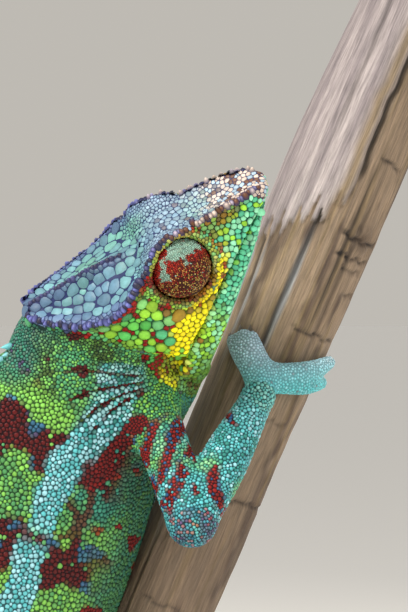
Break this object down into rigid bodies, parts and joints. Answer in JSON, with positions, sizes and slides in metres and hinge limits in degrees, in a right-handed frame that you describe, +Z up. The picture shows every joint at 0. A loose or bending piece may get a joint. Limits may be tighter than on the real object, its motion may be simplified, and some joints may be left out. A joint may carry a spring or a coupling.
{
  "type": "panther chameleon on a perch",
  "caption": "Life-size still model of a male panther chameleon climbing a slanting length of branch, on a flat display base.",
  "frame": {"origin": "middle of the underside of the display base", "axes": "+Z up, +X the way the branch leans, the animal's right side towards -Y"},
  "size_m": [0.2053, 0.15, 0.3667],
  "materials": {
    "skin": "granular scales, satin",
    "eye": "wet gloss",
    "wood": "weathered, bare",
    "stand": "painted satin black",
    "steel": "brushed"
  },
  "bodies": {
    "root": {"head": "skin", "lower_jaw": "skin", "neck": "skin", "trunk": "skin", "tail_1": "skin", "tail_2": "skin", "tail_3": "skin", "tail_4": "skin", "tail_5": "skin", "right_eye_turret": "skin", "left_eye_turret": "skin", "right_upper_arm": "skin", "right_forearm": "skin", "right_hand_inner": "skin", "right_hand_outer": "skin", "left_upper_arm": "skin", "left_forearm": "skin", "left_hand_inner": "skin", "left_hand_outer": "skin", "right_thigh": "skin", "right_shank": "skin", "right_foot_inner": "skin", "right_foot_outer": "skin", "left_thigh": "skin", "left_shank": "skin", "left_foot_inner": "skin", "left_foot_outer": "skin", "right_eyeball": "eye", "left_eyeball": "eye", "branch": "wood", "stand_base": "stand", "stand_rod": "steel"}
  },
  "joints": []
}
